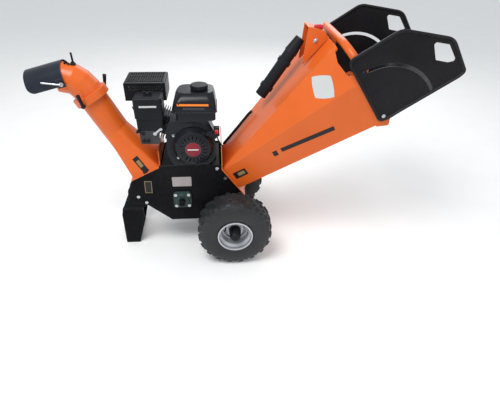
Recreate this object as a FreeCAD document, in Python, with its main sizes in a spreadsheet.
import FreeCAD, Part
import math
import os

# Wheeled petrol drum chipper. Millimetres, +Z up, +X towards the feed tray, -Y is the starter side.
# The origin is on the ground under the middle of the machine. Side views are drawn in (x, z) with x
# measured from the wheel axle, and every sub-part's Placement adds axle_x.

V = FreeCAD.Vector
doc = FreeCAD.newDocument("WoodChipper")
sheet = doc.addObject("Spreadsheet::Sheet", "Sizes")

SIZES = {
    "axle_x": -18.2, "axle_height": 178, "axle_radius": 10, "axle_length": 640,
    "wheel_track": 484, "tyre_radius": 178, "tyre_width": 145,
    "rim_width": 138, "bead_radius": 76,
    "housing_half": 125, "plate_gauge": 4, "sheet_gauge": 3,
    "drum_x": -249, "drum_height": 280, "drum_radius": 108, "drum_length": 226, "shaft_radius": 15,
    "casing_radius": 120, "deck_height": 461, "deck_gauge": 6,
    "leg_half": 107,
    "crank_x": -178, "crank_height": 567, "crank_radius": 11, "recoil_radius": 90,
    "belt_plane": 160, "drum_pulley_radius": 88, "engine_pulley_radius": 47, "belt_width": 17,
    "chute_radius": 62, "collar_radius": 79, "chute_lean": 26.4, "chute_top_x": -625, "chute_top_z": 773,
    "deflector_radius": 75, "deflector_length": 162, "deflector_drop": 14.7,
    "pivot_x": 615, "pivot_z": 752, "slot_width": 13, "tray_half": 257,
    "hopper_mouth_half": 250, "hopper_throat_half": 121, "hoop_radius": 13,
    "bolt_radius": 4,
}
for row, (alias, value) in enumerate(SIZES.items(), start=1):
    sheet.set("A%d" % row, alias)
    sheet.set("B%d" % row, str(value))
    sheet.setAlias("B%d" % row, alias)
doc.recompute()


def size(alias):
    return float(sheet.get(alias))


PARTS = []


def register(part, x="0", y="0", z="0"):
    """List a sub-part and bind its place to the sheet; x is measured from the wheel axle."""
    part.setExpression(".Placement.Base.x", "Sizes.axle_x + %s" % x)
    part.setExpression(".Placement.Base.y", y)
    part.setExpression(".Placement.Base.z", z)
    PARTS.append(part)
    return part


def corner_edges(points, radius):
    """Closed outline of straight runs with every corner rounded by an arc of the given radius."""
    edges = []
    count = len(points)
    if radius <= 0:
        for index in range(count):
            edges.append(Part.LineSegment(V(*points[index], 0), V(*points[(index + 1) % count], 0)))
        return edges
    starts, ends, middles = [], [], []
    for index in range(count):
        corner = V(*points[index], 0)
        back = (V(*points[index - 1], 0) - corner).normalize()
        ahead = (V(*points[(index + 1) % count], 0) - corner).normalize()
        half = math.acos(max(-1.0, min(1.0, back.dot(ahead)))) / 2
        reach = radius / math.tan(half)
        bisector = (back + ahead).normalize()
        starts.append(corner + back * reach)
        ends.append(corner + ahead * reach)
        middles.append(corner + bisector * (radius / math.sin(half) - radius))
    for index in range(count):
        edges.append(Part.Arc(starts[index], middles[index], ends[index]))
        edges.append(Part.LineSegment(ends[index], starts[(index + 1) % count]))
    return edges


def disc(x, z, radius):
    return Part.Circle(V(x, z, 0), V(0, 0, 1), radius)


def new_body(label):
    body = doc.addObject("PartDesign::Body", label)
    body.Label = label
    return body


def new_sketch(body, plane, edges, name="Outline"):
    sketch = body.newObject("Sketcher::SketchObject", name)
    role = [item for item in body.Origin.OriginFeatures if item.Role == plane][0]
    sketch.AttachmentSupport = [(role, "")]
    sketch.MapMode = "FlatFace"
    for edge in edges:
        sketch.addGeometry(edge, False)
    return sketch


def plate(label, outline, gauge, y, radius=0, holes=(), x="0", z="0", plane="XZ_Plane"):
    """Sheet-metal piece cut to a side-view outline: its back face is at y and it grows towards -Y."""
    body = new_body(label)
    sketch = new_sketch(body, plane, corner_edges(outline, radius) + list(holes))
    pad = body.newObject("PartDesign::Pad", "Sheet")
    pad.Profile = sketch
    pad.setExpression("Length", gauge)
    body.Tip = pad
    return register(body, x, y, z)


def turned(label, profile, x, y, z, radius=0):
    """Piece turned about an axle that runs along Y; the profile is (distance along Y, radius)."""
    body = new_body(label)
    sketch = new_sketch(body, "YZ_Plane", corner_edges(profile, radius))
    turn = body.newObject("PartDesign::Revolution", "Turned")
    turn.Profile = sketch
    turn.ReferenceAxis = (sketch, ["H_Axis"])
    turn.Angle = 360
    body.Tip = turn
    return register(body, x, y, z)


def block(label, low, high, corner=0, soften=0):
    """Moulded or cast box with rounded upright corners and, if asked, a softened top edge."""
    body = new_body(label)
    outline = [(low[0], low[1]), (high[0], low[1]), (high[0], high[1]), (low[0], high[1])]
    sketch = new_sketch(body, "XY_Plane", corner_edges(outline, corner))
    pad = body.newObject("PartDesign::Pad", "Block")
    pad.Profile = sketch
    pad.Length = high[2] - low[2]
    body.Tip = pad
    doc.recompute()
    if soften:
        top = "Face%d" % (1 + max(range(len(pad.Shape.Faces)),
                                  key=lambda index: pad.Shape.Faces[index].CenterOfMass.z))
        fillet = body.newObject("PartDesign::Fillet", "TopEdge")
        fillet.Base = (pad, [top])
        fillet.Radius = soften
        body.Tip = fillet
    return register(body, z=str(low[2]))


def solid(label, shape, x="0", y="0", z="0"):
    """Sub-part whose form needs Part's own functions."""
    feature = doc.addObject("Part::Feature", label)
    feature.Label = label
    feature.Shape = Part.makeCompound([shape])
    return register(feature, x, y, z)


def rod(start, end, radius):
    """Round bar between two points."""
    run = V(*end) - V(*start)
    return Part.makeCylinder(radius, run.Length, V(*start), run)


def bar_path(points, bend):
    """Path of straight runs joined by tangent arcs of one bend radius."""
    corners = [V(*point) for point in points]
    edges = []
    last = corners[0]
    for before, corner, after in zip(corners, corners[1:], corners[2:]):
        back = (before - corner).normalize()
        ahead = (after - corner).normalize()
        half = math.acos(back.dot(ahead)) / 2
        reach = bend / math.tan(half)
        middle = corner + (back + ahead).normalize() * (bend / math.sin(half) - bend)
        edges.append(Part.LineSegment(last, corner + back * reach).toShape())
        edges.append(Part.Arc(corner + back * reach, middle, corner + ahead * reach).toShape())
        last = corner + ahead * reach
    edges.append(Part.LineSegment(last, corners[-1]).toShape())
    return Part.Wire(edges)


def tube_along(points, bend, radius):
    path = bar_path(points, bend)
    start = V(*points[0])
    ring = Part.Wire([Part.makeCircle(radius, start, V(*points[1]) - start)])
    return path.makePipeShell([ring], True, True)


def hex_bolt(head, tip, radius, across):
    """Hex-head bolt: the head's underside is at head and the shank runs to tip."""
    run = V(*tip) - V(*head)
    direction = V(run).normalize()
    side = direction.cross(V(0, 0, 1) if abs(direction.z) < 0.9 else V(1, 0, 0)).normalize()
    up = direction.cross(side)
    reach = across / math.sqrt(3)
    corners = []
    for step in range(7):
        turn = math.radians(60 * step)
        corners.append(V(*head) + side * (reach * math.cos(turn)) + up * (reach * math.sin(turn)))
    face = Part.Face(Part.makePolygon(corners))
    return face.extrude(direction * (-radius * 1.3)).fuse(rod(head, tip, radius))


def bolts(label, places, radius, across):
    return solid(label, Part.makeCompound([hex_bolt(head, tip, radius, across) for head, tip in places]))


# ---------------------------------------------------------------- housing
half = size("housing_half")
gauge = size("plate_gauge")
thin = size("sheet_gauge")
drum_x, drum_z = size("drum_x"), size("drum_height")
axle_z = size("axle_height")
deck = size("deck_height")
HOUSING = [(-476, 388), (-344, 455), (-334, 466), (-58, 466), (-55, 441), (54, 291), (60, 265),
           (40, 155), (-310, 155), (-425, 252), (-512, 265), (-505, 335)]
shaft_hole = size("shaft_radius") + 6
LEG_BOLTS = ((-459, 300), (-424, 266))
FLANGE_BOLTS = ((-76, 447), (-38, 392))


def side_plates():
    holes = [disc(drum_x, drum_z, shaft_hole), disc(0, axle_z, size("axle_radius") + 0.2)]
    holes += [disc(x, z, size("bolt_radius") + 0.2) for x, z in LEG_BOLTS + FLANGE_BOLTS]
    plate("side_plate_near", HOUSING, "Sizes.plate_gauge", "-Sizes.housing_half + Sizes.plate_gauge",
          radius=8, holes=holes)
    plate("side_plate_far", HOUSING, "Sizes.plate_gauge", "Sizes.housing_half", radius=8, holes=holes)


def drum_casing():
    """Rolled wrapper under the drum: infeed floor, round belly and front wall, one bent sheet."""
    radius = size("casing_radius")
    centre = V(drum_x, 0, drum_z)
    floor_angle = math.radians(-58)
    lift = centre + V(radius * math.cos(floor_angle), 0, radius * math.sin(floor_angle))
    front = centre + V(-radius, 0, 0)
    belly = centre + V(radius * math.cos(math.radians(239)), 0, radius * math.sin(math.radians(239)))
    wrapper = Part.Wire([
        Part.makeLine(V(24, 0, lift.z + (24 - lift.x) * math.tan(math.radians(32))), lift),
        Part.Arc(lift, belly, front).toShape(),
        Part.makeLine(front, V(-462, 0, 386)),
    ])
    band = wrapper.makeOffset2D(thin, 0, True, True)
    width = 2 * (half - gauge)
    shape = band.Faces[0].extrude(V(0, width, 0))
    shape.translate(V(0, -width / 2, 0))
    solid("drum_casing", shape)


def deck_plate():
    """Flat engine bed between the side plates, which also closes the casing's top."""
    width = half - gauge
    body = block("engine_deck", (-334, -width, deck - size("deck_gauge")), (-64, width, deck))
    body.setExpression(".Placement.Base.z", "Sizes.deck_height - Sizes.deck_gauge")


def bed_knife():
    """Fixed counter knife on its bar, just clear of the drum knives at the end of the infeed floor."""
    width = half - gauge
    bar = Part.makeBox(40, 2 * width, 8, V(0, -width, 3))
    bar.rotate(V(0, 0, 0), V(0, 1, 0), -32)
    bar.translate(V(-134, 0, 238))
    solid("bed_knife", bar)


def axle():
    length = size("axle_length")
    turned("axle", [(-length / 2, 0), (length / 2, 0), (length / 2, size("axle_radius")),
                               (-length / 2, size("axle_radius"))], "0", "0", "Sizes.axle_height")


def leg_stand():
    """Front stand folded from one sheet: two joggled legs, a stiffening web and the flat foot."""
    inner = half - gauge
    foot_half = size("leg_half")
    front = [(-540, 240), (-505, 318), (-447, 322), (-412, 262), (-450, 228), (-452, 164), (-494, 0),
             (-563, 0), (-560, 178), (-550, 222)]
    outline = Part.Face(Part.Wire([edge.toShape() for edge in corner_edges(front, 5)]))
    outline.rotate(V(0, 0, 0), V(1, 0, 0), 90)
    cut = outline.extrude(V(0, 2 * half, 0))
    cut.translate(V(0, -half, 0))
    fold = []
    for y, z in ((-inner, 330), (-inner, 232), (-foot_half, 206), (-foot_half, 0),
                 (foot_half, 0), (foot_half, 206), (inner, 232), (inner, 330)):
        fold.append(V(-600, y, z))
    for y, z in ((inner - gauge, 330), (inner - gauge, 234), (foot_half - gauge, 208),
                 (foot_half - gauge, 6), (-foot_half + gauge, 6), (-foot_half + gauge, 208),
                 (-inner + gauge, 234), (-inner + gauge, 330)):
        fold.append(V(-600, y, z))
    channel = Part.Face(Part.makePolygon(fold + fold[:1])).extrude(V(220, 0, 0))
    web = Part.makeBox(gauge, 2 * foot_half - 2, 150, V(-512, -foot_half + 1, 30))
    stand = channel.common(cut).fuse(web)
    for x, z in LEG_BOLTS:
        stand = stand.cut(rod((x, -half, z), (x, half, z), size("bolt_radius") + 0.2))
    solid("leg_stand", stand)


def drum_bearings():
    """Four-bolt square flange units outside both side plates."""
    units = []
    for side in (-1, 1):
        face = side * half
        flange = Part.makeBox(86, 12, 86, V(drum_x - 43, min(face, face + side * 12), drum_z - 43))
        flange = flange.makeFillet(16, [edge for edge in flange.Edges
                                        if abs(edge.Curve.Direction.y) > 0.9])
        boss = Part.makeCone(34, 30, 8, V(drum_x, face + side * 12, drum_z), V(0, side, 0))
        bore = Part.makeCylinder(size("shaft_radius") + 0.05, 60,
                                 V(drum_x, face - side * 10, drum_z), V(0, side, 0))
        unit = flange.fuse(boss).cut(bore)
        for dx in (-31, 31):
            for dz in (-31, 31):
                unit = unit.cut(Part.makeCylinder(5, 40, V(drum_x + dx, face - side * 10, drum_z + dz),
                                                  V(0, side, 0)))
        units.append(unit)
    solid("drum_bearings", Part.makeCompound(units))


def rating_plate():
    plate("rating_plate", [(-291, 352), (-200, 352), (-200, 404), (-291, 404)], "1",
          "-Sizes.housing_half", radius=4)


side_plates()
drum_casing()
deck_plate()
bed_knife()
axle()
leg_stand()
drum_bearings()
rating_plate()


# ---------------------------------------------------------------- drum and drive
def drum():
    """Chipping drum welded to its shaft, with two knife seats milled across it."""
    length = size("drum_length")
    radius = size("drum_radius")
    shaft = size("shaft_radius")
    core = Part.makeCylinder(radius - 10, length, V(0, -length / 2, 0), V(0, 1, 0))
    core = core.cut(Part.makeCylinder(radius - 22, length - 16, V(0, -length / 2 + 8, 0), V(0, 1, 0)))
    core = core.fuse(Part.makeCylinder(shaft, 2 * (half + 46), V(0, -half - 46, 0), V(0, 1, 0)))
    for turn in (40, 220):
        seat = Part.makeBox(60, length - 20, 30, V(-30, -length / 2 + 10, radius - 17))
        seat.rotate(V(0, 0, 0), V(0, 1, 0), turn)
        core = core.cut(seat)
    solid("chipping_drum", core, "Sizes.drum_x", "0", "Sizes.drum_height")
    knives, screws = [], []
    for turn in (40, 220):
        knife = Part.makeBox(56, length - 22, 8, V(-28, -length / 2 + 11, radius - 17))
        tip = Part.makeBox(10, length - 22, 18, V(-28, -length / 2 + 11, radius - 17))
        knife = knife.fuse(tip)
        knife.rotate(V(0, 0, 0), V(0, 1, 0), turn)
        knives.append(knife)
        for step in range(-1, 2):
            screw = Part.makeCylinder(7, 6, V(6, step * 70, radius - 9), V(0, 0, 1))
            screw.rotate(V(0, 0, 0), V(0, 1, 0), turn)
            screws.append(screw)
    solid("drum_knives", Part.makeCompound(knives), "Sizes.drum_x", "0", "Sizes.drum_height")
    solid("knife_screws", Part.makeCompound(screws), "Sizes.drum_x", "0", "Sizes.drum_height")


def pulley(label, radius_alias, bore_alias, x, z):
    """Two-groove cast pulley on a shaft along Y."""
    radius = size(radius_alias)
    bore = size(bore_alias)
    width = size("belt_width") + 8
    groove = size("belt_width") / 2
    profile = [(-width / 2, bore), (width / 2, bore), (width / 2, radius + 4), (groove, radius + 4),
               (groove - 4, radius - 9), (-groove + 4, radius - 9), (-groove, radius + 4),
               (-width / 2, radius + 4)]
    turned(label, profile, x, "Sizes.belt_plane", z)


def drive_belt():
    """V-belt round both pulleys, with the two straight runs tangent to them."""
    top = V(size("crank_x"), 0, size("crank_height"))
    low = V(drum_x, 0, drum_z)
    span = top - low
    small, large = size("engine_pulley_radius"), size("drum_pulley_radius")

    def loop(offset):
        r_low, r_top = large + offset, small + offset
        direction = math.atan2(span.z, span.x)
        swing = math.acos((r_low - r_top) / span.Length)
        points = []
        for sign in (1, -1):
            angle = direction + sign * swing
            out = V(math.cos(angle), 0, math.sin(angle))
            points.append((low + out * r_low, top + out * r_top))
        (low_a, top_a), (low_b, top_b) = points
        out = V(math.cos(direction), 0, math.sin(direction))
        return Part.Wire([Part.makeLine(low_a, top_a), Part.Arc(top_a, top + out * r_top, top_b).toShape(),
                          Part.makeLine(top_b, low_b), Part.Arc(low_b, low - out * r_low, low_a).toShape()])

    band = Part.Face(loop(3)).cut(Part.Face(loop(-6)))
    width = size("belt_width") - 8
    shape = band.extrude(V(0, width, 0))
    solid("drive_belt", shape, "0", "Sizes.belt_plane - %s" % (width / 2))


def belt_guard():
    """Pressed cover over the belt drive, a shell open towards the housing."""
    outline = [(-362, 200), (-300, 160), (-200, 160), (-152, 225), (-138, 290), (-105, 560), (-120, 640),
               (-235, 640), (-250, 560), (-362, 330)]
    outer = Part.Face(Part.Wire([edge.toShape() for edge in corner_edges(outline, 30)]))
    outer.rotate(V(0, 0, 0), V(1, 0, 0), 90)
    inner = outer.makeOffset2D(-thin)
    front = half + 0.5
    depth = size("belt_plane") + 17 - front
    shell = outer.extrude(V(0, depth, 0)).cut(inner.extrude(V(0, depth - thin, 0)))
    shell.translate(V(0, front, 0))
    solid("belt_guard", shell.cut(Part.makeBox(220, 40, 60, V(-300, half - 4, deck - 30))))


drum()
pulley("drum_pulley", "drum_pulley_radius", "shaft_radius", "Sizes.drum_x", "Sizes.drum_height")
pulley("engine_pulley", "engine_pulley_radius", "crank_radius", "Sizes.crank_x", "Sizes.crank_height")
drive_belt()
belt_guard()


# ---------------------------------------------------------------- engine
crank_x, crank_z = size("crank_x"), size("crank_height")
lean = math.radians(25)


def crankcase():
    """Die-cast crankcase with its feet on the deck and the crankshaft's two bearing bores."""
    case = Part.makeBox(176, 128, 150, V(crank_x - 90, -58, deck + 8))
    case = case.makeFillet(22, [edge for edge in case.Edges if abs(edge.Curve.Direction.y) > 0.9])
    feet = Part.makeBox(196, 108, 14, V(crank_x - 98, -48, deck))
    case = case.fuse(feet).cut(Part.makeCylinder(size("crank_radius") + 0.05, 300,
                                                 V(crank_x, -150, crank_z), V(0, 1, 0)))
    plug = Part.makeCylinder(11, 22, V(crank_x + 74, 20, deck + 40), V(1, 0, 0.3))
    case = case.fuse(plug)
    solid("crankcase", case.removeSplitter())


def cylinder():
    """Finned barrel and head, leaning forward from the crankcase, with the rocker cover at its end."""
    shape = Part.makeBox(130, 84, 84, V(66, -42, -42))
    for step in range(9):
        fin = Part.makeBox(4, 116, 112, V(96 + 11 * step, -58, -56))
        shape = shape.fuse(fin)
    cover = Part.makeBox(26, 88, 88, V(192, -44, -44))
    cover = cover.makeFillet(10, [edge for edge in cover.Edges if abs(edge.Curve.Direction.x) > 0.9])
    shape = shape.fuse(cover)
    shape.rotate(V(0, 0, 0), V(0, 1, 0), 180 + math.degrees(lean))
    shape.translate(V(crank_x, 8, crank_z))
    keep = Part.makeBox(176.6, 128.6, 160, V(crank_x - 90.3, -58.3, deck))
    solid("cylinder", shape.cut(keep))


def crankshaft():
    back = size("belt_plane") + 13
    turned("crankshaft", [(-124, 0), (back, 0), (back, size("crank_radius")), (-124, size("crank_radius"))],
           "Sizes.crank_x", "0", "Sizes.crank_height")
    blades = Part.makeCylinder(78, 12, V(0, -96, 0), V(0, 1, 0))
    for step in range(12):
        blade = Part.makeBox(26, 16, 3, V(50, -112, -1.5))
        blade.rotate(V(0, 0, 0), V(0, 1, 0), 30 * step)
        blades = blades.fuse(blade)
    hub = Part.makeCylinder(24, 30, V(0, -112, 0), V(0, 1, 0))
    bore = Part.makeCylinder(size("crank_radius"), 60, V(0, -130, 0), V(0, 1, 0))
    solid("flywheel", blades.fuse(hub).cut(bore), "Sizes.crank_x", "0", "Sizes.crank_height")


def fan_shroud():
    """Pressed blower housing: a round shell over the flywheel that opens towards the cylinder."""
    profile = [(-96, -98), (66, -98), (98, -60), (98, 60), (70, 120), (-100, 120), (-118, 70), (-118, -40)]
    points = [(crank_x + x, crank_z + z) for x, z in profile]
    outer = Part.Face(Part.Wire([edge.toShape() for edge in corner_edges(points, 24)]))
    outer.rotate(V(0, 0, 0), V(1, 0, 0), 90)
    inner = outer.makeOffset2D(-thin)
    shell = outer.extrude(V(0, 66, 0)).cut(inner.extrude(V(0, 66 - thin, 0)).translated(V(0, thin, 0)))
    shell.translate(V(0, -126, 0))
    mouth = Part.makeCylinder(80, 20, V(crank_x, -130, crank_z), V(0, 1, 0))
    solid("fan_shroud", shell.cut(mouth))


def recoil_cover():
    """Domed starter cover with a ring of slots, bolted over the shroud's mouth."""
    radius = size("recoil_radius")
    profile = [(-126.3, 0), (-126.3, radius), (-134, radius), (-158, radius - 14), (-165, radius - 34),
               (-165, 0)]
    edges = [edge.toShape() for edge in corner_edges(profile, 0)]
    dome = Part.Face(Part.Wire(edges))
    dome.rotate(V(0, 0, 0), V(1, 0, 0), 90)
    dome.rotate(V(0, 0, 0), V(0, 0, 1), 90)
    dome = dome.revolve(V(0, 0, 0), V(0, 1, 0), 360)
    hollow = Part.makeCylinder(radius - 18, 24, V(0, -152, 0), V(0, 1, 0))
    hollow = hollow.fuse(Part.makeCylinder(radius - 6, 8, V(0, -134, 0), V(0, 1, 0)))
    dome = dome.cut(hollow)
    for step in range(20):
        if step == 10:
            continue
        slot = Part.makeBox(20, 40, 5, V(44, -170, -2.5))
        slot.rotate(V(0, 0, 0), V(0, 1, 0), 18 * step)
        dome = dome.cut(slot)
    solid("recoil_cover", dome, "Sizes.crank_x", "0", "Sizes.crank_height")


def starter_grip():
    """Moulded pull grip resting against the starter cover's rope guide."""
    bar = Part.makeCylinder(9, 46, V(crank_x + 62, -170, crank_z + 78), V(1, 0, -0.35))
    stem = Part.makeCone(8, 5, 27, V(crank_x + 83, -154, crank_z + 70), V(0, 1, 0))
    solid("starter_grip", bar.fuse(stem))


def tank_section(low, high, level, corner):
    """Rounded rectangle at one height; corners measured from the crankshaft's axis."""
    spots = [(low[0], low[1]), (high[0], low[1]), (high[0], high[1]), (low[0], high[1])]
    wire = Part.Wire([edge.toShape() for edge in corner_edges(spots, corner)])
    wire.translate(V(crank_x, 0, level))
    return wire


def fuel_tank():
    """Pressed tank: a domed upper half on a seam lip, a plain lower half and a filler neck."""
    top = 804
    upper = Part.makeLoft([tank_section((-78, -149), (108, 16), 734, 22),
                           tank_section((-72, -143), (105, 13), 772, 26),
                           tank_section((-53, -112), (97, 4), top, 34)], True, False)
    lip = Part.Face(tank_section((-83, -152), (112, 19), 729, 24)).extrude(V(0, 0, 6))
    lower = Part.Face(tank_section((-66, -138), (104, 12), 690, 20)).extrude(V(0, 0, 42))
    neck = Part.makeCylinder(24, 10, V(CAP_PLACE.x, CAP_PLACE.y, top - 6))
    bore = Part.makeCylinder(20, 60, V(CAP_PLACE.x, CAP_PLACE.y, top - 40))
    solid("fuel_tank", upper.fuse(lip).fuse(lower).fuse(neck).cut(bore).removeSplitter())


CAP_PLACE = V(crank_x + 37, -56, 808)


def fuel_cap():
    """Ribbed screw cap with a plug in the filler neck."""
    cap = Part.makeCylinder(38, 15, V(0, 0, 0.4))
    cap = cap.makeFillet(4, [edge for edge in cap.Edges if edge.CenterOfMass.z > 14])
    plug = Part.makeCylinder(19.5, 14, V(0, 0, -13.6))
    for step in range(12):
        notch = Part.makeCylinder(4, 30, V(40.5, 0, 3))
        notch.rotate(V(0, 0, 0), V(0, 0, 1), 30 * step)
        cap = cap.cut(notch)
    solid("fuel_cap", cap.fuse(plug), str(CAP_PLACE.x), str(CAP_PLACE.y), str(CAP_PLACE.z))


def air_cleaner():
    case = Part.makeBox(112, 92, 56, V(-412, -146, 652))
    case = case.makeFillet(10, [edge for edge in case.Edges if abs(edge.Curve.Direction.z) > 0.9])
    solid("air_cleaner_case", case)
    cover = Part.makeBox(120, 98, 88, V(-416, -150, 708.3))
    cover = cover.makeFillet(12, [edge for edge in cover.Edges if abs(edge.Curve.Direction.z) > 0.9])
    cover = cover.makeFillet(9, [edge for edge in cover.Edges if edge.CenterOfMass.z > 795])
    solid("air_cleaner_cover", cover)
    nut = Part.makeCylinder(8, 8, V(0, 0, 0))
    for side in (-1, 1):
        nut = nut.fuse(Part.makeBox(14, 4, 14, V(4 if side > 0 else -18, -2, 0)))
    solid("cover_wing_nut", nut, "-356", "-100", "796.6")


def carburettor():
    """Carburettor body with its float bowl, between the cylinder's inlet and the air cleaner."""
    throat = Part.makeCylinder(19, 86, V(-356, -138, 628), V(0, 1, 0))
    bowl = Part.makeCylinder(21, 34, V(-356, -112, 584))
    flange = Part.makeBox(70, 8, 48, V(-391, -60, 603))
    riser = Part.makeBox(44, 40, 40, V(-378, -136, 612))
    plate_back = Part.makeBox(84, 6, 62, V(-404, -146, 589.5))
    plate_back = plate_back.makeFillet(8, [edge for edge in plate_back.Edges
                                           if abs(edge.Curve.Direction.y) > 0.9])
    solid("carburettor", throat.fuse(bowl).fuse(flange).fuse(riser).fuse(plate_back))


def lever(label, pivot, length, angle, y):
    """Flat control lever on a short pin along Y."""
    arm = Part.makeBox(length, 4, 9, V(0, -4, -4.5))
    arm = arm.fuse(Part.makeCylinder(8, 5, V(0, -5, 0), V(0, 1, 0)))
    arm = arm.fuse(Part.makeCylinder(5.5, 12, V(length - 4, -14, 0), V(0, 1, 0)))
    arm.rotate(V(0, 0, 0), V(0, 1, 0), -angle)
    solid(label, arm, str(pivot[0]), str(y), str(pivot[1]))


def muffler():
    """Oval silencer drum behind the air cleaner, with the pierced guard round it."""
    drum_shape = Part.makeBox(140, 110, 70, V(-446, -20, 742))
    drum_shape = drum_shape.makeFillet(26, [edge for edge in drum_shape.Edges
                                            if abs(edge.Curve.Direction.y) > 0.9])
    pipe = Part.makeCylinder(14, 36, V(-392, 40, 708))
    tail = Part.makeCylinder(11, 20, V(-452, 60, 770), V(-1, 0, 0))
    solid("muffler", drum_shape.fuse(pipe).fuse(tail))
    outer = Part.makeBox(178, 148, 82, V(-464, -42, 748))
    outer = outer.makeFillet(10, [edge for edge in outer.Edges if edge.CenterOfMass.z > 829])
    inner = Part.makeBox(172, 142, 90, V(-461, -39, 737))
    guard = outer.cut(inner)
    for step in range(15):
        guard = guard.cut(Part.makeBox(4.5, 20, 16, V(-445 + 10 * step, -50, 796)))
        for row in range(3):
            guard = guard.cut(Part.makeBox(5, 34, 20, V(-445 + 10 * step, -28 + 42 * row, 820)))
    for step in range(9):
        guard = guard.cut(Part.makeBox(20, 6, 44, V(-474, -24 + 14 * step, 772)))
    guard = guard.cut(Part.makeCylinder(13, 60, V(-440, 60, 770), V(-1, 0, 0)))
    solid("muffler_guard", guard)


def ignition():
    """Spark plug with its cap at the head's end, and the stop switch on the shroud."""
    plug = Part.makeCylinder(9, 44, V(-392, -16, 668), V(-0.9, -0.2, 0.42))
    elbow = Part.makeCylinder(12, 34, V(-424, -23, 683), V(-0.3, 0, 1))
    keep = Part.makeBox(240, 240, 92, V(-446, -60, 742))
    solid("spark_plug", plug.fuse(elbow).cut(keep))
    box = Part.makeBox(26, 23.6, 40, V(-85, -150, 622))
    box = box.makeFillet(4, [edge for edge in box.Edges if abs(edge.Curve.Direction.y) > 0.9])
    pocket = Part.makeBox(16, 15, 26, V(-80, -154, 629))
    solid("stop_switch", box.cut(pocket))
    rocker = Part.makeCylinder(12.4, 15.4, V(-7.7, 0, 0), V(1, 0, 0))
    rocker = rocker.common(Part.makeBox(20, 12, 25, V(-10, -13, -12.5)))
    solid("switch_rocker", rocker, "-72", "-142.3", "642")


crankcase()
cylinder()
crankshaft()
fan_shroud()
recoil_cover()
starter_grip()
fuel_tank()
fuel_cap()
air_cleaner()
carburettor()
lever("choke_lever", (-388, 640), 30, 150, -146.4)
lever("throttle_lever", (-338, 640), 42, 40, -146.4)
lever("fuel_lever", (-388, 606), 24, 0, -146.4)
muffler()
ignition()


# ---------------------------------------------------------------- wheels
def wheels():
    """Two free-running wheels: balloon tyre, stepped steel rim and a hub tube on the axle."""
    radius, width = size("tyre_radius"), size("tyre_width") / 2
    bead, rim = size("bead_radius"), size("rim_width") / 2
    bore = size("axle_radius") + 0.05
    carcass = [(-58, bead + 4), (58, bead + 4), (width, 112), (width, 146), (56, 171), (30, radius),
               (-30, radius), (-56, 171), (-width, 146), (-width, 112)]
    for name, side in (("near", -1), ("far", 1)):
        place = "%d * Sizes.wheel_track / 2" % side
        turned("tyre_" + name, carcass, "0", place, "Sizes.axle_height")
        out = side
        profile = [(-rim, bead + 4), (-rim, bead + 7), (-rim - 0.5, bead + 7), (-rim - 0.5, bead),
                   (-rim + 14, bead), (-rim + 26, bead - 12), (-4, bead - 12), (-4, 46), (8, 40), (8, 26),
                   (-40, 26), (-40, bore), (54, bore), (54, 26), (12, 26), (12, 42), (0, 48),
                   (0, bead - 12), (rim - 26, bead - 12), (rim - 14, bead), (rim + 0.5, bead),
                   (rim + 0.5, bead + 7), (rim, bead + 7), (rim, bead + 4), (rim - 12, bead + 3.8),
                   (rim - 24, bead - 8), (-rim + 24, bead - 8), (-rim + 12, bead + 3.8)]
        turned("rim_" + name, [(out * y, r) for y, r in profile], "0", place, "Sizes.axle_height")


# ---------------------------------------------------------------- chute
chute_lean = math.radians(size("chute_lean"))
CHUTE_UP = V(-math.sin(chute_lean), 0, math.cos(chute_lean))
CHUTE_TOP = V(size("chute_top_x"), 0, size("chute_top_z"))


def chute_skin(radius, inset):
    """Discharge duct: a rectangular foot on the housing that closes to the round tube."""
    foot_low, foot_high = V(-476 + inset, 0, 388), V(-346 - inset, 0, 454)
    width = half - 12 - inset
    corner = 18.0
    along = (foot_high - foot_low).normalize()
    centre = (foot_low + foot_high) * 0.5
    reach = (foot_high - foot_low).Length / 2
    edges = []
    spots = [(1, 1), (-1, 1), (-1, -1), (1, -1)]
    points = []
    for sx, sy in spots:
        hub = centre + along * (sx * (reach - corner)) + V(0, sy * (width - corner), 0)
        first = V(0, sy, 0) if sx * sy < 0 else along * sx
        last = along * sx if sx * sy < 0 else V(0, sy, 0)
        points.append((hub + first * corner, hub + (first + last).normalize() * corner,
                       hub + last * corner))
    for index, (start, middle, end) in enumerate(points):
        edges.append(Part.Arc(start, middle, end).toShape())
        edges.append(Part.makeLine(end, points[(index + 1) % 4][0]))
    foot = Part.Wire(edges)
    neck_centre = CHUTE_TOP - CHUTE_UP * 190
    neck = Part.Wire([Part.makeCircle(radius, neck_centre, CHUTE_UP)])
    lower = Part.makeLoft([foot, neck], True, False)
    upper = Part.makeCylinder(radius, 190, neck_centre, CHUTE_UP)
    return lower, upper


def chute():
    radius = size("chute_radius")
    outer_low, outer_high = chute_skin(radius, 0)
    inner_low, inner_high = chute_skin(radius - thin, thin)
    duct = outer_low.fuse(outer_high).cut(inner_low).cut(inner_high)
    flange = Part.makeBox(152, 2 * half, gauge, V(-4, -half, 0.4))
    flange.rotate(V(0, 0, 0), V(0, 1, 0), -math.degrees(math.atan2(67, 132)))
    flange.translate(V(-476, 0, 388))
    upright = Part.makeBox(gauge, 2 * half - 20, 78, V(-343, -half + 10, 462))
    ring = Part.makeCylinder(size("collar_radius") - 5, 6, CHUTE_TOP - CHUTE_UP * 26, CHUTE_UP)
    bore = Part.makeCylinder(radius - thin, 80, CHUTE_TOP - CHUTE_UP * 60, CHUTE_UP)
    shape = duct.fuse(flange.cut(inner_low)).fuse(ring.cut(bore)).fuse(upright.cut(inner_low))
    solid("discharge_chute", shape)


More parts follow.
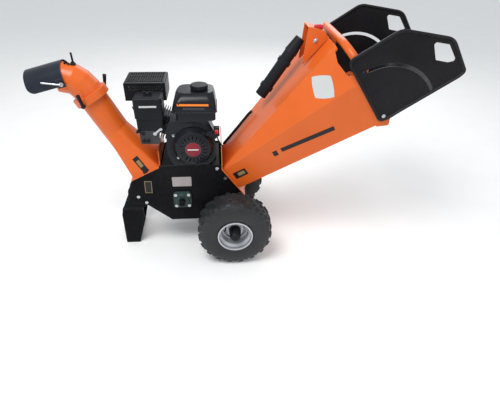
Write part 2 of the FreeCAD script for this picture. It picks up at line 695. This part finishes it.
def elbow_path():
    """Bends of the swivelling head, from the tube's top to the mouth."""
    return [CHUTE_TOP - CHUTE_UP * 0.4, CHUTE_TOP + CHUTE_UP * 16, V(-655, 0, 816), V(-680, 0, 833),
            V(-728, 0, 843)]


def mitred_tube(points, radius):
    path = Part.makePolygon(points)
    ring = Part.Wire([Part.makeCircle(radius, points[0], points[1] - points[0])])
    return path.makePipeShell([ring], True, True, 1)


def chute_head():
    """Swivelling head: a clamp collar round the tube's ring and a four-piece mitred elbow."""
    radius = size("chute_radius") + 2
    points = elbow_path()
    skin = mitred_tube(points, radius).cut(mitred_tube(points, radius - thin))
    skin = skin.cut(Part.makeCylinder(radius + 20, 20, CHUTE_TOP - CHUTE_UP * 19.6, CHUTE_UP))
    collar = Part.makeCylinder(size("collar_radius"), 32, CHUTE_TOP - CHUTE_UP * 30, CHUTE_UP)
    bore = Part.makeCylinder(radius - thin, 8, CHUTE_TOP - CHUTE_UP * 2, CHUTE_UP)
    pocket = Part.makeCylinder(size("collar_radius") - 4.5, 14, CHUTE_TOP - CHUTE_UP * 30.5, CHUTE_UP)
    mouth = Part.makeCylinder(size("chute_radius") + 0.4, 80, CHUTE_TOP - CHUTE_UP * 40, CHUTE_UP)
    lugs = Part.makeBox(16, 2 * radius + 12, 24, V(DEFLECTOR_PIVOT.x - 8, -radius - 6,
                                                  DEFLECTOR_PIVOT.z - 12))
    lugs = lugs.fuse(rod((DEFLECTOR_PIVOT.x, -radius - 14, DEFLECTOR_PIVOT.z),
                         (DEFLECTOR_PIVOT.x, radius + 14, DEFLECTOR_PIVOT.z), 4))
    lugs = lugs.cut(mitred_tube(points, radius - 1))
    collar = collar.cut(pocket).cut(mouth).cut(bore)
    solid("chute_head", collar.fuse(skin).fuse(lugs))


def clamp_lever(label, turn, tilt):
    """Tapered hand lever on a screw through the collar's side."""
    radius = size("collar_radius")
    screw = Part.makeCylinder(4, 18, V(radius + 0.3, 0, 0), V(1, 0, 0))
    hub = Part.makeCylinder(8, 12, V(radius + 4, 0, 0), V(1, 0, 0))
    arm = Part.makeCone(6, 8.5, 58, V(radius + 12, 0, 0), V(0.2, tilt, 0.95))
    shape = screw.fuse(hub).fuse(arm)
    shape.rotate(V(0, 0, 0), V(0, 0, 1), turn)
    shape.rotate(V(0, 0, 0), V(0, 1, 0), -size("chute_lean"))
    shape.translate(CHUTE_TOP - CHUTE_UP * 24)
    solid(label, shape)


DEFLECTOR_PIVOT = V(-704, 0, 838)


def deflector():
    """Half-round hood with two ears on pivot screws at the elbow's mouth."""
    radius = size("deflector_radius")
    length = size("deflector_length")
    lip, rounding, start = 11, 30, -12
    tube = Part.makeCylinder(radius, length, V(start, 0, 0), V(1, 0, 0))
    tube = tube.cut(Part.makeCylinder(radius - thin, length + 2, V(start - 1, 0, 0), V(1, 0, 0)))
    tube = tube.cut(Part.makeBox(length + 40, 200, 120, V(start - 10, -100, lip)))
    end = start + length
    corner = Part.makeBox(rounding + 1, 200, rounding + 1, V(end - rounding, -100, lip - rounding))
    keep = Part.makeCylinder(rounding, 200, V(end - rounding, -100, lip - rounding), V(0, 1, 0))
    corner = corner.cut(keep)
    tube = tube.cut(corner)
    for side in (-1, 1):
        ear = Part.makeBox(32, thin, 36, V(start, side * (radius - thin / 2) - thin / 2, -20))
        tube = tube.fuse(ear)
    tube = tube.cut(Part.makeCylinder(4.06, 2 * radius + 20, V(0, -radius - 10, 0), V(0, 1, 0)))
    tube.rotate(V(0, 0, 0), V(0, 1, 0), 180 - size("deflector_drop"))
    solid("deflector", tube, str(DEFLECTOR_PIVOT.x), "0", str(DEFLECTOR_PIVOT.z))
    lever_rod = tube_along([(0, -radius - 4.2, 0), (0, -radius - 16, 0), (-76, -radius - 18, 10)], 6, 3.5)
    nut = Part.makeCylinder(9, 9, V(0, -radius - 4.4, 0), V(0, -1, 0))
    solid("deflector_lever", lever_rod.fuse(nut), str(DEFLECTOR_PIVOT.x), "0", str(DEFLECTOR_PIVOT.z))


wheels()
chute()
chute_head()
clamp_lever("clamp_lever_near", 255, 0.4)
clamp_lever("clamp_lever_far", 60, -0.7)
deflector()


# ---------------------------------------------------------------- hopper
mouth_half = size("hopper_mouth_half")
throat_half = size("hopper_throat_half")
MOUTH_LOW, MOUTH_RISE = V(613, 0, 715), V(-0.5813, 0, 0.8137)
THROAT_LOW, THROAT_RISE = V(26, 0, 329), V(-0.5878, 0, 0.809)
FOLD_HEIGHT, MOUTH_HEIGHT, THROAT_HEIGHT = 210, 358, 133
RIDGE_HALF, CROWN_HALF = 160, 52
GUIDE = V(503, 0, 925)


def section(low, rise, heights, halves, shift):
    """One outline of the funnel in its own plane, from the near floor corner round to the far one."""
    axis = V(math.cos(math.radians(35)), 0, math.sin(math.radians(35)))
    near = []
    for height, reach in zip(heights, halves):
        spot = low + rise * height + axis * shift
        near.append(V(spot.x, -reach, spot.z))
    far = [V(spot.x, -spot.y, spot.z) for spot in reversed(near)]
    return Part.makePolygon(near + far + near[:1])


def funnel(inset, shift):
    """Ruled funnel between throat and mouth; inset makes the cavity, shift runs it past both ends."""
    mouth = section(MOUTH_LOW, MOUTH_RISE,
                    (inset, FOLD_HEIGHT, MOUTH_HEIGHT - inset, MOUTH_HEIGHT - inset),
                    (mouth_half - inset, mouth_half - inset, RIDGE_HALF - inset, CROWN_HALF), shift)
    throat = section(THROAT_LOW, THROAT_RISE,
                     (inset, THROAT_HEIGHT - 8, THROAT_HEIGHT - inset, THROAT_HEIGHT - inset),
                     (throat_half - inset, throat_half - inset, throat_half - 6 - inset, CROWN_HALF), -shift)
    return Part.makeLoft([throat, mouth], True, True)


def hopper():
    """Folded infeed funnel with a notch cut in each upper wall and a lug for each tray screw."""
    shell = funnel(0, 0).cut(funnel(thin, 1))
    notch = [(520, 1060), (398, 1060), (400, 1000), (414, 948), (452, 905), (520, 905)]
    cutter = Part.Face(Part.Wire([edge.toShape() for edge in corner_edges(notch, 14)]))
    cutter.rotate(V(0, 0, 0), V(1, 0, 0), 90)
    for side in (-1, 1):
        window = cutter.extrude(V(0, 130, 0))
        window.translate(V(0, 165 if side > 0 else -295, 0))
        shell = shell.cut(window)
    for side in (-1, 1):
        for outline in ([(596, 700), (650, 706), (650, 760), (612, 778), (578, 762)],
                        [(486, 880), (520, 905), (522, 938), (500, 950), (470, 934), (468, 905)]):
            lug = Part.Face(Part.Wire([edge.toShape() for edge in corner_edges(outline, 8)]))
            lug.rotate(V(0, 0, 0), V(1, 0, 0), 90)
            lug = lug.extrude(V(0, thin, 0))
            lug.translate(V(0, side * (mouth_half - thin / 2) - thin / 2, 0))
            shell = shell.fuse(lug)
    for point in (V(size("pivot_x"), 0, size("pivot_z")), GUIDE):
        shell = shell.cut(Part.makeCylinder(4.1, 700, V(point.x, -350, point.z), V(0, 1, 0)))
    solid("hopper", shell)


def infeed_flange():
    """Bent flange plate that bolts the hopper's throat to the housing."""
    run = V(54, 0, 291) - V(-55, 0, 441)
    angle = math.degrees(math.atan2(-run.z, run.x))
    slope = Part.makeBox(run.Length, 2 * half + 16, gauge, V(0, -half - 8, 0))
    slope.rotate(V(0, 0, 0), V(0, 1, 0), angle)
    slope.translate(V(-54.4, 0, 441.4))
    upright = Part.makeBox(gauge, 2 * half + 16, 100, V(-54.4, -half - 8, 441.4))
    flange = slope.fuse(upright).cut(funnel(thin, 30)).cut(funnel(0, 0))
    solid("infeed_flange", flange.removeSplitter())


def hoop_bar():
    """Bent tube over the hopper's mouth, flattened on to the guide lugs at both ends."""
    span = mouth_half - thin - 14
    points = [(503, -span, 925), (466, -span, 978), (436, -165, 1016), (436, 165, 1016), (466, span, 978),
              (503, span, 925)]
    tube = tube_along(points, 40, size("hoop_radius"))
    ends = []
    for side in (-1, 1):
        ends.append(Part.makeCylinder(15, 14, V(503, side * (span + 7) - 7, 925), V(0, 1, 0)))
    tube = tube.fuse(ends[0]).fuse(ends[1])
    tube = tube.cut(Part.makeCylinder(4.1, 700, V(503, -350, 925), V(0, 1, 0)))
    solid("hoop_bar", tube)


def brackets():
    """Orange sheet brackets on the hopper: the folded ear under the hoop and the document tube's clips."""
    outline = [(300, 893), (316, 1052), (386, 1034), (402, 1006)]
    face = Part.Face(Part.Wire([edge.toShape() for edge in corner_edges(outline, 5)]))
    face.rotate(V(0, 0, 0), V(1, 0, 0), 90)
    reach = CROWN_HALF - 6
    ear = face.extrude(V(0, 2 * reach, 0))
    ear.translate(V(0, -reach, 0))
    hollow = Part.makeBox(200, 2 * (reach - thin), 160, V(250, -reach + thin, 890 - thin))
    lid = Part.makeBox(90, 2 * reach, 14, V(0, -reach, -14))
    lid.rotate(V(0, 0, 0), V(0, 1, 0), 14)
    lid.translate(V(312, 0, 1054))
    keep = ear.common(lid)
    folded = ear.cut(hollow).fuse(keep.cut(lid.translated(V(-1, 0, -thin)))).cut(funnel(0, 0))
    run = (TUBE_END - TUBE_START).normalize()
    clips = [max(folded.Solids, key=lambda item: item.Volume)]
    for step in (40, 170):
        centre = TUBE_START + run * step
        ring = Part.makeCylinder(29, 16, centre, run).cut(Part.makeCylinder(26.1, 16, centre, run))
        clips.append(ring)
    solid("hopper_brackets", Part.makeCompound(clips))


TUBE_START, TUBE_END = V(132, 0, 752), V(262, 0, 948)


def manual_holder():
    """Round document tube clipped along the hopper's crown, with a screw cap."""
    start, end = TUBE_START, TUBE_END
    run = (end - start).normalize()
    tube = Part.makeCylinder(26, (end - start).Length, start, run)
    tube = tube.cut(Part.makeCylinder(23.5, (end - start).Length, start + run * 3, run))
    solid("manual_tube", tube)
    cap = Part.makeCone(29, 21, 70, end - run * 12, run)
    cap = cap.cut(Part.makeCylinder(26.3, 13, end - run * 12.7, run))
    solid("manual_cap", cap)


hopper()
infeed_flange()
hoop_bar()
brackets()
manual_holder()


# ---------------------------------------------------------------- feed tray
TRAY = [(606, 729), (437, 970), (617, 1084), (825, 1052), (907, 931), (890, 912), (674, 767), (640, 742)]
HAND_HOLE = [(749, 1042), (814, 1032), (858, 972), (826, 966), (775, 975)]


def arc_slot(centre, radius, low, high, width):
    """Outline of the curved slot that the guide screw runs in, about the fold axis."""
    def spot(reach, turn):
        return V(centre[0] + reach * math.cos(math.radians(turn)),
                 centre[1] + reach * math.sin(math.radians(turn)), 0)

    outer, inner = radius + width / 2, radius - width / 2
    middle = (low + high) / 2
    cap = math.degrees(width / 2 / radius)
    return [Part.Arc(spot(outer, low), spot(outer, middle), spot(outer, high)),
            Part.Arc(spot(outer, high), spot(radius, high + cap), spot(inner, high)),
            Part.Arc(spot(inner, high), spot(inner, middle), spot(inner, low)),
            Part.Arc(spot(inner, low), spot(radius, low - cap), spot(outer, low))]


def tray():
    """Folding feed tray: two side wings with hand holes and guide slots, joined by the floor."""
    pivot = (size("pivot_x"), size("pivot_z"))
    rest = math.degrees(math.atan2(GUIDE.z - pivot[1], GUIDE.x - pivot[0]))
    reach = math.hypot(GUIDE.z - pivot[1], GUIDE.x - pivot[0])
    for name, y in (("near", "-Sizes.tray_half + Sizes.sheet_gauge"), ("far", "Sizes.tray_half")):
        holes = corner_edges(HAND_HOLE, 9) + [disc(pivot[0], pivot[1], 4.06)]
        holes += arc_slot(pivot, reach, rest - 90, rest + 0.6, size("slot_width"))
        plate("tray_wing_" + name, TRAY, "Sizes.sheet_gauge", y, radius=9, holes=holes)
    inner = size("tray_half") - thin
    run = V(890, 0, 912) - V(674, 0, 767)
    floor = Part.makeBox(run.Length - 4, 2 * inner, thin, V(0, -inner, 2.2))
    floor.rotate(V(0, 0, 0), V(0, 1, 0), -math.degrees(math.atan2(run.z, run.x)))
    floor.translate(V(674, 0, 767))
    lip = Part.makeBox(46, 2 * inner - 24, thin, V(-40, -inner + 12, 2.2))
    lip.rotate(V(0, 0, 0), V(0, 1, 0), -28)
    lip.translate(V(674, 0, 767))
    solid("tray_floor", floor.fuse(lip))
    screws = []
    for point in (V(pivot[0], 0, pivot[1]), GUIDE):
        for side in (-1, 1):
            head = (point.x, side * (size("tray_half") + 0.4), point.z)
            tip = (point.x, side * (mouth_half - thin - 9), point.z)
            screws.append(hex_bolt(head, tip, 4.0, 15))
    solid("tray_screws", Part.makeCompound(screws))


def frame_bolts():
    """The M8 bolts of the leg, the chute and hopper flanges and the engine's feet."""
    places = []
    for side in (-1, 1):
        for x, z in LEG_BOLTS + FLANGE_BOLTS:
            places.append(((x, side * (half + 0.2), z), (x, side * (half - 12), z)))
        for dx in (-31, 31):
            for dz in (-31, 31):
                places.append(((drum_x + dx, side * (half + 12.2), drum_z + dz),
                               (drum_x + dx, side * (half + 0.5), drum_z + dz)))
    bolts("frame_bolts", places, size("bolt_radius"), 15)


def conduits():
    """Lead clipped along the hopper's far upper edge, and the engine's stop-switch lead."""
    clip = tube_along([(-40, 62, 478), (20, 64, 552), (84, 64, 634), (98, 60, 650)], 60, 7)
    solid("interlock_conduit", clip)
    lead = tube_along([(-72, -134, 621.5), (-66, -134, 596), (-52, -120, 566), (-46, -96, 548)], 14, 3)
    solid("switch_lead", lead)


tray()
frame_bolts()
conduits()


# ---------------------------------------------------------------- check and write
doc.recompute()
for item in doc.Objects:
    if "Invalid" in item.State or "Error" in item.State:
        raise RuntimeError("%s failed: %s" % (item.Label, item.State))
os.makedirs("parts", exist_ok=True)
for part in PARTS:
    if part.Shape.isNull() or not part.Shape.isValid() or not part.Shape.Solids:
        raise RuntimeError("%s has no valid solid" % part.Label)
    part.Shape.exportStep("parts/%s.step" % part.Label)
print(len(PARTS), "sub-parts written")
